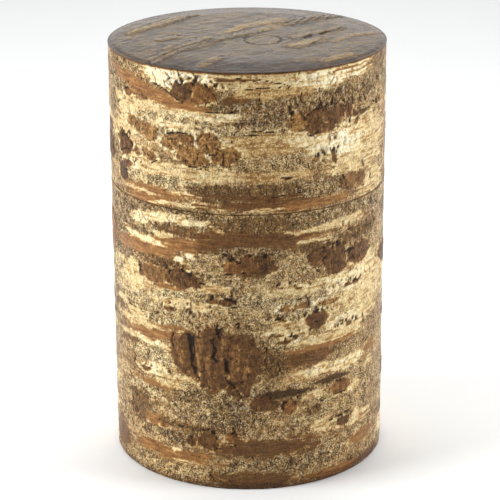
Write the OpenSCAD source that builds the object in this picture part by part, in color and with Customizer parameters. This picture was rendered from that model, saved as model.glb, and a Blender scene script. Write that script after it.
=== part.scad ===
// Cherry-bark tea caddy: a wound-veneer canister skinned in bark, with an inner sleeve that stands
// up as the neck, an outer lid that slides over the neck, and an inner lid with a turned knob.
// Millimetres. The origin is the middle of the underside, and +Z points up.

/* [Caddy] */
// Outside diameter over the bark
caddy_d = 79; // [74:0.5:90]
// Height from the table to the top of the lid
caddy_h = 122.5; // [118:0.5:135]
// Height of the seam where the lid meets the body
seam_h = 82; // [74:0.5:84]
// How far the neck stands up above the seam
neck_h = 25; // [18:0.5:26]

/* [Walls] */
// Thickness of the outer bark sheet
bark_t = 0.8; // [0.6:0.1:1.2]
// Thickness of the wound veneer core
core_t = 1.6; // [1.2:0.1:2.4]
// Thickness of a smooth bark lining
lining_t = 0.5; // [0.4:0.1:0.8]
// Thickness of the sleeve's veneer
sleeve_core_t = 1; // [0.8:0.1:1.6]
// Thickness of the bark edging glued on each rim
edging_t = 0.4; // [0.3:0.1:0.6]

/* [Boards] */
// Thickness of the base board
base_board_t = 5; // [4:0.5:7]
// Thickness of the lid's top board
top_board_t = 4; // [3:0.5:5]
// Thickness of the bark disc on the lid's top
top_bark_t = 1; // [0.8:0.1:1.4]

/* [Inner lid] */
// How deep the inner lid reaches into the sleeve
plug_t = 3.5; // [2.5:0.5:5]
// Thickness of the inner lid's flange
flange_t = 1.4; // [1.2:0.1:2]
// Height of the knob
knob_h = 6.6; // [5:0.1:6.8]
// Diameter of the knob's head
knob_d = 15; // [12:0.5:20]

/* [Fits] */
// Radial play between the lid's lining and the neck
lid_play = 0.1; // [0.05:0.01:0.2]
// Radial play between the inner lid's plug and the sleeve
plug_play = 0.1; // [0.05:0.01:0.2]

/* [Hidden] */
$fn = 144;

// Radii, from the outside in
caddy_r = caddy_d / 2;
core_r = caddy_r - bark_t;              // outside of the veneer core
bore_r = core_r - core_t;               // inside of the veneer core
neck_r = bore_r - lining_t - lid_play;  // outside of the sleeve and its neck
sleeve_core_r = neck_r - lining_t;      // outside of the sleeve's veneer
sleeve_lining_r = sleeve_core_r - sleeve_core_t;
mouth_r = sleeve_lining_r - lining_t;   // inside of the sleeve, where the tea is
lid_bore_r = neck_r + lid_play;

// Heights, from the table up
board_z = bark_t;
board_top_z = board_z + base_board_t;
floor_z = board_top_z + lining_t;       // the floor that the tea rests on
neck_z = seam_h + neck_h;               // the top of the neck's lip
top_bark_z = caddy_h - top_bark_t;
top_board_z = top_bark_z - top_board_t;
ceiling_z = top_board_z - lining_t;

// Edge rounds
foot_round = 0.7;
crown_round = 0.7;
rim_round = 0.25;
lip_round = 0.15;

// Inner lid
plug_r = mouth_r - plug_play;
plug_z = neck_z - plug_t;
flange_r = neck_r - 0.2;
band_t = 0.4;
flange_top_z = neck_z + flange_t;
lid_skin_t = 0.6;                       // bark on the inner lid's top
knob_z = flange_top_z + lid_skin_t;
knob_foot_r = knob_d * 0.32;
knob_waist_r = knob_d * 0.25;
knob_waist_fillet = 1.2;
knob_head_h = knob_h * 0.5;
cap_r = knob_d * 0.36;
cap_t = 0.5;
dowel_r = 1.5;
dowel_z = neck_z - plug_t * 0.6;
dowel_top_z = knob_z + knob_h * 0.6;

bark_colour = [0.67, 0.55, 0.37];
dark_bark_colour = [0.31, 0.20, 0.14];
lining_colour = [0.42, 0.22, 0.13];
veneer_colour = [0.80, 0.68, 0.50];
knob_colour = [0.50, 0.27, 0.15];

// What a round of radius r takes off the corner at the origin of a shape that fills x < 0, y < 0
module bite(r) {
    difference() {
        translate([-r, -r]) square(r + 1);
        translate([-r, -r]) circle(r);
    }
}

// A wall's section between two radii and two heights, with any corner rounded
module section(r_in, r_out, z0, z1, top_out = 0, foot_out = 0, top_in = 0, foot_in = 0) {
    difference() {
        translate([r_in, z0]) square([r_out - r_in, z1 - z0]);
        if (top_out > 0) translate([r_out, z1]) bite(top_out);
        if (foot_out > 0) translate([r_out, z0]) rotate(-90) bite(foot_out);
        if (top_in > 0) translate([r_in, z1]) rotate(90) bite(top_in);
        if (foot_in > 0) translate([r_in, z0]) rotate(180) bite(foot_in);
    }
}

// A plain round tube or disc
module tube(r_in, r_out, z0, z1) {
    rotate_extrude() section(r_in, r_out, z0, z1);
}

// ---- Body ----

// Bark disc on the underside, which the caddy stands on
module base_bark() color(dark_bark_colour) tube(0, core_r, 0, board_z);

module base_board() color(veneer_colour) tube(0, bore_r, board_z, board_top_z);

// Smooth bark disc on the floor, under the sleeve
module floor_lining() color(lining_colour) tube(0, neck_r, board_top_z, floor_z);

module body_core() color(veneer_colour) tube(bore_r, core_r, board_z, seam_h - edging_t);

// Outer bark of the body, rounded under at the foot
module body_bark() color(bark_colour)
    rotate_extrude()
        section(core_r, caddy_r, 0, seam_h, foot_out = foot_round, top_out = rim_round);

// Lining of the body's tube, which the sleeve is glued into
module body_lining() color(lining_colour)
    tube(neck_r, bore_r, board_top_z, seam_h - edging_t);

// Bark ring that hides the cut end of the core, and carries the lid
module body_rim_edging() color(dark_bark_colour)
    tube(neck_r, core_r, seam_h - edging_t, seam_h);

// ---- Inner sleeve and neck ----

module sleeve_bark() color(lining_colour)
    tube(sleeve_core_r, neck_r, floor_z, neck_z - edging_t);

module sleeve_core() color(veneer_colour)
    tube(sleeve_lining_r, sleeve_core_r, floor_z, neck_z - edging_t);

module sleeve_lining() color(lining_colour)
    tube(mouth_r, sleeve_lining_r, floor_z, neck_z - edging_t);

// Bark ring on the neck's end, which the inner lid's flange rests on
module sleeve_lip() color(dark_bark_colour)
    rotate_extrude()
        section(mouth_r, neck_r, neck_z - edging_t, neck_z, top_out = lip_round, top_in = lip_round);

// ---- Outer lid ----

module lid_bark() color(bark_colour)
    rotate_extrude() section(core_r, caddy_r, seam_h, top_bark_z, foot_out = rim_round);

module lid_core() color(veneer_colour) tube(bore_r, core_r, seam_h + edging_t, top_bark_z);

module lid_lining() color(lining_colour)
    tube(lid_bore_r, bore_r, seam_h + edging_t, ceiling_z);

module lid_rim_edging() color(dark_bark_colour)
    tube(lid_bore_r, core_r, seam_h, seam_h + edging_t);

// Smooth bark disc inside the top
module lid_ceiling() color(lining_colour) tube(0, bore_r, ceiling_z, top_board_z);

module lid_top_board() color(veneer_colour) tube(0, bore_r, top_board_z, top_bark_z);

// Polished bark disc, whose edge shows as a thin dark line round the crown
module lid_top_bark() color(dark_bark_colour)
    rotate_extrude() section(0, caddy_r, top_bark_z, caddy_h, top_out = crown_round);

// ---- Inner lid ----

// The dowel's hole, cut through whatever it passes
module dowel_hole() translate([0, 0, dowel_z]) cylinder(r = dowel_r, h = dowel_top_z - dowel_z);

// Turned board: a plug that fills the mouth, and a flange that rests on the lip
module inner_lid_board() color(veneer_colour)
    difference() {
        rotate_extrude() {
            section(0, plug_r, plug_z, neck_z, foot_out = 0.5);
            translate([0, neck_z]) square([flange_r - band_t, flange_t]);
        }
        dowel_hole();
    }

// Bark strip round the flange's edge
module inner_lid_band() color(lining_colour)
    tube(flange_r - band_t, flange_r, neck_z, flange_top_z);

module inner_lid_skin() color(lining_colour)
    difference() {
        rotate_extrude() section(0, flange_r, flange_top_z, knob_z, top_out = 0.4);
        dowel_hole();
    }

module inner_lid_underside() color(lining_colour)
    tube(0, plug_r - 0.6, plug_z - lining_t, plug_z);

// Half of the knob's outline: a foot, a filleted waist and a round-edged head
module knob_section() {
    head_z = knob_h - knob_head_h;
    difference() {
        union() {
            section(0, knob_foot_r, 0, head_z);
            section(0, knob_d / 2, head_z, knob_h, top_out = 1.4, foot_out = 1.4);
        }
        translate([knob_waist_r + knob_waist_fillet, head_z - knob_waist_fillet])
            circle(knob_waist_fillet);
        translate([cap_r, knob_h]) mirror([1, 0]) translate([0, -cap_t]) square([cap_r, cap_t + 1]);
    }
}

module knob() color(knob_colour)
    difference() {
        translate([0, 0, knob_z]) rotate_extrude() knob_section();
        dowel_hole();
    }

// Bark inlay let into the knob's top
module knob_cap() color(dark_bark_colour)
    tube(0, cap_r, knob_z + knob_h - cap_t, knob_z + knob_h);

module knob_dowel() color(veneer_colour) dowel_hole();

base_bark();
base_board();
floor_lining();
body_core();
body_bark();
body_lining();
body_rim_edging();
sleeve_core();
sleeve_bark();
sleeve_lining();
sleeve_lip();
lid_bark();
lid_core();
lid_lining();
lid_rim_edging();
lid_ceiling();
lid_top_board();
lid_top_bark();
inner_lid_board();
inner_lid_band();
inner_lid_skin();
inner_lid_underside();
knob();
knob_cap();
knob_dowel();
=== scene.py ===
"""Looks of the cherry-bark tea caddy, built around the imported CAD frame.

The rough outer bark, the polished disc on the lid and the other visible bark pieces are dense meshes with
real relief, made here. Lengths in the tables are millimetres and angles are degrees: angle 0 faces the
front (-Y) and grows towards +X. Meshes are in metres.
"""

import itertools
import math

import bpy
import numpy as np
from mathutils import Matrix, Vector


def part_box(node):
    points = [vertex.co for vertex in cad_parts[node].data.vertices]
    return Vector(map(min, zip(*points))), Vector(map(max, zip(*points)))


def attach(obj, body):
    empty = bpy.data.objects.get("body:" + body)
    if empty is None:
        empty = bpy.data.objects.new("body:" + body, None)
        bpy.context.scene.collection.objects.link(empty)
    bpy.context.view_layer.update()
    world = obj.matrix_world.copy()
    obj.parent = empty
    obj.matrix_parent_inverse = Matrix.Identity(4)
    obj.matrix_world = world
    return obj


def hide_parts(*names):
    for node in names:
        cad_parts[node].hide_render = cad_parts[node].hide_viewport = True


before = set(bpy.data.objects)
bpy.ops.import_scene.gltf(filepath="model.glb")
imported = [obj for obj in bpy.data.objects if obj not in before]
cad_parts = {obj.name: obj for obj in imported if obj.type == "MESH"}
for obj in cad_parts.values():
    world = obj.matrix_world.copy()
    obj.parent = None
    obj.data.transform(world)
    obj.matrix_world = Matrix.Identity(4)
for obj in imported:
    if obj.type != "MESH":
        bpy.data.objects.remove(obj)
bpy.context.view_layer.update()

MM = 0.001


def box_mm(node):
    """A CAD node's lowest and highest corner in millimetres."""
    low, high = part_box(node)
    return low / MM, high / MM


# ---- Sizes in mm ----

# from the frame
CADDY_R = box_mm("body_bark")[1].x
CADDY_H = box_mm("lid_top_bark")[1].z
CORE_R = box_mm("body_core")[1].x
SEAM_Z = box_mm("body_bark")[1].z
DEG_MM = math.radians(1) * CADDY_R          # length of one degree round the bark

# of the looks
BODY_STEP, LID_STEP = 0.48, 0.38            # spacing of the rough bark's points
BARK_LEVEL, BARK_DEEPEST = -0.28, -0.68     # the rough bark's mean relief and its lowest
DISC_LEVEL, DISC_DEEPEST = -0.27, -0.85     # the same for the polished disc
DISC_POINTS = 250                           # points along each side of the disc's grid
CROWN_ROUND = 0.6                           # round of the disc's edge
FRONT_END = 75                              # angle in degrees where the front's tables stop


# ---- Noise ----

def lattice(cell, seed):
    """A repeatable number from 0 to 1 for each whole-number point in cell, made by mixing bits."""
    h = cell[..., 0] * 374761393 + cell[..., 1] * 668265263 + cell[..., 2] * 2147483629 + seed * 1274126177
    h = h & 0xFFFFFFFF
    h = ((h ^ (h >> 13)) * 1103515245) & 0xFFFFFFFF
    h = ((h ^ (h >> 15)) * 668265263) & 0xFFFFFFFF
    return (h ^ (h >> 16)) / 0xFFFFFFFF


def perlin(p, seed):
    """Gradient noise at points p, about -1 to 1."""
    cell = np.floor(p).astype(np.int64)
    f = p - cell
    u = f * f * f * (f * (f * 6 - 15) + 10)
    total = np.zeros(len(p))
    for corner_offset in itertools.product((0, 1), repeat=3):
        c = np.array(corner_offset)
        near = cell + c
        gradient = np.stack([lattice(near, seed + k) for k in range(3)], -1) - 0.5
        weight = np.prod(np.where(c == 1, u, 1 - u), -1)
        total += weight * ((f - c) * gradient).sum(-1)
    return total * 2.6


def fbm(p, seed, octaves=3, gain=0.5):
    """Several octaves of gradient noise, about -1 to 1."""
    total, level, scale = 0, 1.0, 1.0
    for k in range(octaves):
        total = total + level * perlin(p * scale + 17.3 * k, seed + 7 * k)
        level *= gain
        scale *= 2.1
    return total


def cells(p, seed):
    """Distance to the nearest and to the second nearest scattered point, and the nearest one's number."""
    cell = np.floor(p).astype(np.int64)
    first = np.full(len(p), 9.0)
    second = np.full(len(p), 9.0)
    number = np.zeros(len(p))
    for offset in itertools.product((-1, 0, 1), repeat=3):
        near = cell + np.array(offset)
        point = near + np.stack([lattice(near, seed + k) for k in range(3)], -1)
        d = np.sqrt(((p - point) ** 2).sum(-1))
        closer = d < first
        second = np.where(closer, first, np.minimum(second, d))
        number = np.where(closer, lattice(near, seed + 5), number)
        first = np.where(closer, d, first)
    return first, second, number


def smooth(low, high, x):
    """0 below low, 1 above high, and a soft step between. low may be above high."""
    t = np.clip((x - low) / (high - low), 0, 1)
    return t * t * (3 - 2 * t)


def towards(f, values, mask):
    """Moves each named field towards its value, as far as mask says."""
    for name, value in values:
        f[name] = f[name] + (value - f[name]) * mask


def wall_points(angle, radius, height):
    """Points round the caddy's axis."""
    rad = np.radians(angle)
    return np.stack([radius * np.sin(rad), -radius * np.cos(rad), height], -1)


# ---- The rough bark's tables ----

# What each kind of patch does to the bark: tone (0 black, 1 palest), rust (0 grey-brown, 1 orange-brown),
# fleck (share of dark specks), grain (upright wrinkles), streak (level fibres), craze (net of cracks) and
# height in mm. Ivory to gold are pale cork. The ivory's tone is raised to the palest, partly as painted
# highlight where the soft boxes glint on the lid's crown. Olive and grey are weathered, rust and brown are
# the smooth under-bark, and the rest are knots, their ribs and their holes.
KINDS = {
    "ivory": (1.00, 0.05, 0.00, 0.10, 0.45, 0.80, 0.00),
    "cream": (0.87, 0.08, 0.10, 0.10, 0.45, 0.70, 0.00),
    "pale": (0.76, 0.12, 0.30, 0.15, 0.40, 0.45, -0.02),
    "flecked": (0.73, 0.05, 0.90, 0.25, 0.05, 0.55, -0.03),
    "tan": (0.64, 0.28, 0.25, 0.10, 0.35, 0.15, -0.03),
    "gold": (0.64, 0.25, 0.90, 0.25, 0.05, 0.50, -0.04),
    "olive": (0.50, 0.10, 0.80, 0.80, 0.05, 0.15, -0.04),
    "grey": (0.41, 0.12, 0.40, 0.90, 0.10, 0.50, 0.02),
    "rust": (0.47, 0.80, 0.10, 0.15, 0.80, 0.05, 0.00),
    "brown": (0.31, 0.50, 0.15, 0.35, 0.70, 0.05, 0.03),
    "knot": (0.32, 0.55, 0.15, 0.75, 0.10, 0.50, 0.10),
    "bole": (0.29, 0.50, 0.05, 0.45, 0.20, 0.20, 0.12),
    "eye": (0.48, 0.62, 0.10, 0.45, 0.10, 0.50, 0.09),
    "orange": (0.42, 0.85, 0.10, 0.45, 0.10, 0.40, 0.10),
    "rib": (0.44, 0.60, 0.10, 0.60, 0.00, 0.10, 0.20),
    "maroon": (0.25, 0.75, 0.00, 0.10, 0.20, 0.00, 0.02),
    "black": (0.07, 0.10, 0.20, 0.40, 0.10, 0.30, -0.08),
}
FIELDS = ("tone", "rust", "fleck", "grain", "streak", "craze", "height")

# Patches in the order they are laid: kind, angle, height, half length, half height and, unless 0, tilt
LID_PATCHES = [
    ("pale", -36, 108.6, 24, 3.4), ("flecked", -33, 104.6, 30, 4), ("pale", -63, 104, 8, 12),
    ("olive", -73, 107, 5, 5), ("olive", -72, 94, 5, 4), ("pale", 55, 98, 15, 8),
    # the ivory patches on the lid's crown are pale cork, and partly a painted highlight where the soft boxes
    # glint
    ("ivory", -28, 119.6, 12.5, 3.4), ("pale", 10, 118.6, 17, 3.6), ("ivory", 31, 118.4, 9, 2.6),
    ("olive", -66, 117, 8, 6), ("rust", -46, 114.4, 17, 2.1, -11), ("rust", -26, 111.7, 10, 0.9, -4),
    ("olive", -7, 113.6, 7, 3), ("brown", -5, 119.6, 6, 0.4), ("brown", -4, 114.2, 4, 1.2),
    ("ivory", 46, 119.9, 14, 2.4, 1), ("olive", 68, 119, 6, 3), ("ivory", -34, 117.6, 6, 2.0, -8),
    ("rust", 47, 120.2, 9, 0.35, 2), ("rust", 52, 118.9, 7, 0.3, 3), ("olive", 51, 113.2, 16, 3.2, 3),
    ("tan", 11, 115.8, 12, 1.6), ("olive", 14, 113.2, 6, 1.4), ("olive", 8, 108.8, 14, 2.2),
    ("tan", 8, 101.3, 13, 3.4), ("cream", 37, 100.5, 13, 4.0, -3), ("gold", 12, 96.4, 11, 2.4),
    ("ivory", 38, 99.6, 7.5, 3.0, -3), ("cream", -32, 105.8, 8, 1.5), ("cream", -16, 109.3, 9, 1.0),
    ("pale", -16, 90.6, 6, 1.2), ("olive", -15, 94.4, 6, 1.4), ("pale", 44, 91.4, 6, 1.3),
    ("tan", 10, 92.6, 12, 1.6), ("pale", -35, 92, 20, 3), ("flecked", -38, 89.2, 16, 2),
    ("grey", -13, 87.6, 8, 2.8), ("grey", 12, 88.6, 15, 1.9), ("brown", 8, 86.6, 15, 0.9),
    ("olive", 33, 88.2, 12, 2.6), ("rust", -42, 86, 12, 1.1), ("cream", -28, 86.9, 6, 0.35),
    ("pale", -49, 85.2, 6, 0.8), ("rust", -45, 83.4, 12, 1.3), ("cream", -31, 83.5, 9, 0.5, 2),
    ("pale", -16, 84.3, 5.5, 0.9, -8), ("brown", 10, 84.4, 16, 1.5), ("pale", 8, 83.5, 7, 0.5),
    ("rust", 30, 84.2, 11, 1.2), ("pale", 62, 86, 8, 4),
]
LID_KNOTS = [
    ("orange", -20.5, 115.5, 6, 2.9), ("knot", -27, 115.6, 3, 2.5), ("orange", -56.5, 112.2, 1.8, 1.0),
    ("orange", -45.8, 112.1, 1.1, 0.6), ("eye", -54, 104.4, 2.1, 1.8), ("eye", -48, 103.3, 3.2, 1.9, -8),
    ("eye", -42, 102.6, 2.9, 2.4, -12), ("eye", -50.2, 96.2, 1.8, 1.1), ("eye", -43.4, 96.3, 2.4, 1.2, -10),
    ("knot", -60.5, 97, 4, 3.3), ("black", -62, 88.6, 3, 2.4), ("maroon", -57.5, 91.4, 3, 0.9, 6),
    ("eye", -28.5, 101.5, 4.8, 2.3, 8), ("eye", -22.8, 97.9, 4.6, 2.8, -4),
    ("eye", -15, 102, 3.8, 2.6, -22), ("eye", -9.3, 98.3, 4.1, 2.6, 8), ("eye", 22, 107.6, 4.4, 2.7),
    ("knot", 31, 107, 5.4, 3.8), ("knot", 38, 108, 5, 2.5), ("orange", 44.5, 108.4, 1.6, 1.6),
    ("orange", 28.5, 96.4, 0.8, 0.7), ("knot", 36.8, 96.4, 0.8, 2, 8), ("orange", 49, 104.6, 1.2, 0.9),
    ("rib", 45.5, 88.2, 3.4, 2.6), ("rib", 52, 88, 2.6, 2), ("knot", 53, 106.7, 4, 0.5),
]
BODY_PATCHES = [
    ("olive", -66, 60, 10, 22), ("flecked", -40, 57, 28, 6), ("gold", -8, 58.5, 13, 5.5),
    ("flecked", 22, 56, 18, 5), ("pale", 58, 56, 14, 9), ("olive", -30, 79.5, 30, 2.6),
    ("olive", 32, 79.3, 24, 2.4), ("cream", -40, 78.7, 10, 1.5, 5), ("cream", -25, 78.9, 7, 1, 3),
    ("cream", -49, 76.8, 5, 0.9, 4), ("pale", -13, 77.1, 2.6, 1.2, -10), ("olive", -49, 73.8, 7, 0.9),
    ("grey", -29, 75.8, 8, 1.5), ("brown", 3, 74.6, 19, 3.1), ("brown", -15, 72.2, 10, 1.7),
    ("rust", -31, 71.8, 9, 1.8, 2), ("pale", -37, 74.2, 5, 0.8, 3), ("rust", -49, 68.6, 14, 2.1, 3),
    ("cream", -50, 71.6, 10, 1.1, -3), ("olive", 0, 71, 10, 1.6), ("pale", 27, 76.3, 9, 0.6),
    ("pale", 45, 77, 8, 1.3, 2), ("pale", 26, 73.2, 6, 0.5, 2), ("rust", 24, 74.3, 5, 0.4, 2),
    ("grey", 4, 79, 11, 2.2), ("grey", 27, 71.3, 6, 1.5), ("grey", 52, 72.6, 10, 2.2, 6),
    ("olive", -56, 64.6, 5, 1.8), ("ivory", -24.5, 66.8, 4.4, 2.4), ("gold", -17, 66.2, 6, 2.6),
    ("grey", -40, 65.8, 9, 1.3), ("gold", 19, 65.6, 6.6, 3.8), ("pale", -54, 59, 9, 5, 4),
    ("rust", -35, 59, 6, 0.7), ("pale", 21, 59.6, 10, 2.1), ("cream", 48, 59, 11, 3.2, 4),
    ("gold", -6, 53, 9, 2.4), ("pale", 19, 48.2, 8, 2.6), ("cream", 46, 47, 9, 3, -4),
    ("pale", -54, 48.4, 7, 1.8), ("pale", -56, 45.4, 9, 1.1, 2), ("pale", -66, 49.8, 4, 1.2),
    ("pale", -26, 46.6, 4, 1.1), ("pale", 45, 44, 7, 1.8), ("pale", -44, 45.6, 5, 0.9, 3),
    ("pale", -29, 54.6, 12, 1.6), ("pale", -15, 60.4, 5, 1.5), ("flecked", -38, 48.8, 6, 1.6),
    ("rust", -46, 43.6, 13, 1.2, 3), ("rust", -32, 47, 6, 0.6, 4), ("pale", 34, 43.8, 9, 1.5, 2),
    ("rust", 30, 41.6, 10, 0.8, 2), ("cream", -45, 41, 9, 0.9, -2), ("pale", -62, 40.6, 6, 0.8, 4),
    ("brown", -61, 38.4, 6, 1, 8), ("flecked", -44, 37, 11, 2.4), ("cream", -42.5, 33.2, 4.6, 1.7, -3),
    ("pale", -29, 32.2, 7, 1, -3), ("rust", -41, 28, 8.5, 1.4, -2), ("flecked", -50, 25.6, 9, 1.8),
    ("olive", -16, 26.6, 15, 3.4), ("gold", -24, 22.5, 14, 2.4), ("grey", -53, 20, 5.5, 5),
    ("brown", -71, 7, 6, 4.5), ("rust", -43, 17.4, 5.5, 2.1), ("grey", -26, 17.8, 11, 1),
    ("olive", -34, 13.8, 10, 1.8), ("rust", -36, 8.4, 15, 1.9), ("pale", -28, 6.9, 4, 0.6, 3),
    ("cream", -32, 10, 1.4, 0.6), ("pale", -36, 4.8, 3.4, 0.3), ("gold", -40, 2.6, 14, 2),
    ("olive", -6, 21, 10, 3), ("brown", 6, 12.6, 15, 2.6), ("rust", 5, 9, 5, 0.35),
    ("olive", 18, 7, 14, 2.4), ("brown", 2, 2.6, 11, 2.8), ("brown", 22, 38.8, 10, 2, 2),
    ("grey", 8, 38, 5, 5), ("tan", 20, 33.4, 5, 1.8, 8), ("cream", 31, 34.6, 6, 1.8, 6),
    ("cream", 45, 34.6, 9, 2.0, 4), ("black", 14, 28.8, 7, 1.1, 4), ("black", 36, 30.8, 6.5, 0.7, 2),
    ("pale", -35, 30, 5, 1.1), ("pale", 26, 27.3, 4.4, 1, 3), ("pale", 50, 26.6, 2.4, 1.6),
    ("grey", 27, 22.8, 2.6, 1.6), ("pale", 33, 17.6, 3.6, 2), ("pale", 52, 16, 7, 2.2),
    ("rust", 57, 9.4, 7, 1.6), ("rust", 42, 1.8, 13, 1.3), ("brown", 62, 2, 7, 1.2),
    ("pale", 62, 31.6, 2.4, 1.2), ("rust", 62, 36, 3.4, 1.6),
]
BODY_KNOTS = [
    ("rib", -41, 61.9, 7.6, 2.6), ("knot", -27.5, 62, 5.2, 2.6, -6), ("orange", -50, 60.9, 1.4, 1.1),
    ("knot", 1, 67.2, 7.2, 3), ("orange", -6.5, 67, 2.4, 2), ("knot", 31, 68, 4.4, 2.6),
    ("knot", 38, 66.4, 4.4, 4.2), ("knot", 52.5, 66.2, 5.4, 2.9), ("knot", -8.5, 56.4, 2.4, 1),
    ("orange", -14.5, 56.4, 1.6, 0.8), ("eye", 16.6, 54.4, 3, 1.1), ("eye", 22.8, 54.6, 2.3, 0.9),
    ("eye", 35, 54.4, 3.8, 0.9), ("maroon", 29.2, 49.6, 3.5, 2.6), ("maroon", 13.6, 51, 0.9, 0.5, -20),
    ("maroon", 18, 45.7, 2.3, 0.6, 4), ("maroon", 15.4, 44.5, 1.7, 0.4, 6),
    ("maroon", 12.3, 46.5, 1.4, 0.25, -4), ("maroon", 20.8, 60.3, 1.3, 0.3, -8),
    ("orange", 45.5, 57.8, 1.7, 0.5), ("orange", 50.3, 57.6, 1.3, 0.5), ("orange", 45.4, 45.6, 1.2, 0.5),
    ("orange", -34.4, 52.6, 1.5, 0.7), ("bole", -24, 40, 6.5, 6.6, 8), ("bole", -14, 39, 8, 9.4),
    ("bole", -4, 38, 6.2, 9.6, -6), ("rib", -29, 41, 1.1, 5.2, 4), ("black", -22.8, 40.4, 0.75, 5.4, 6),
    ("black", -13.8, 42.6, 0.6, 3.2, -14), ("black", -8.4, 37.6, 0.7, 2.4, -10),
    ("black", -6, 31.8, 2.2, 0.6, 30), ("rib", -20, 40.6, 1.2, 6, 2), ("rib", -16.2, 36, 0.9, 5.5),
    ("rib", -9.8, 42.5, 1.0, 4.5, -6), ("rib", -5.4, 39, 1.1, 5.6, -4), ("rib", -1.2, 36.4, 0.9, 4.2, -6),
    ("maroon", -48.6, 32.3, 2, 0.6), ("orange", -37.5, 17, 1.8, 1), ("knot", -22, 13.5, 3, 1.6),
    ("knot", -16.4, 14.4, 3.2, 2.6), ("orange", -7, 16.2, 1.6, 1), ("knot", 6.5, 26.2, 3.8, 2),
    ("orange", 16.8, 24.8, 2.2, 1.9), ("orange", 42.4, 27.6, 4.3, 2.2, -4), ("knot", 43.5, 16.4, 2.6, 1.3),
]

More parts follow.
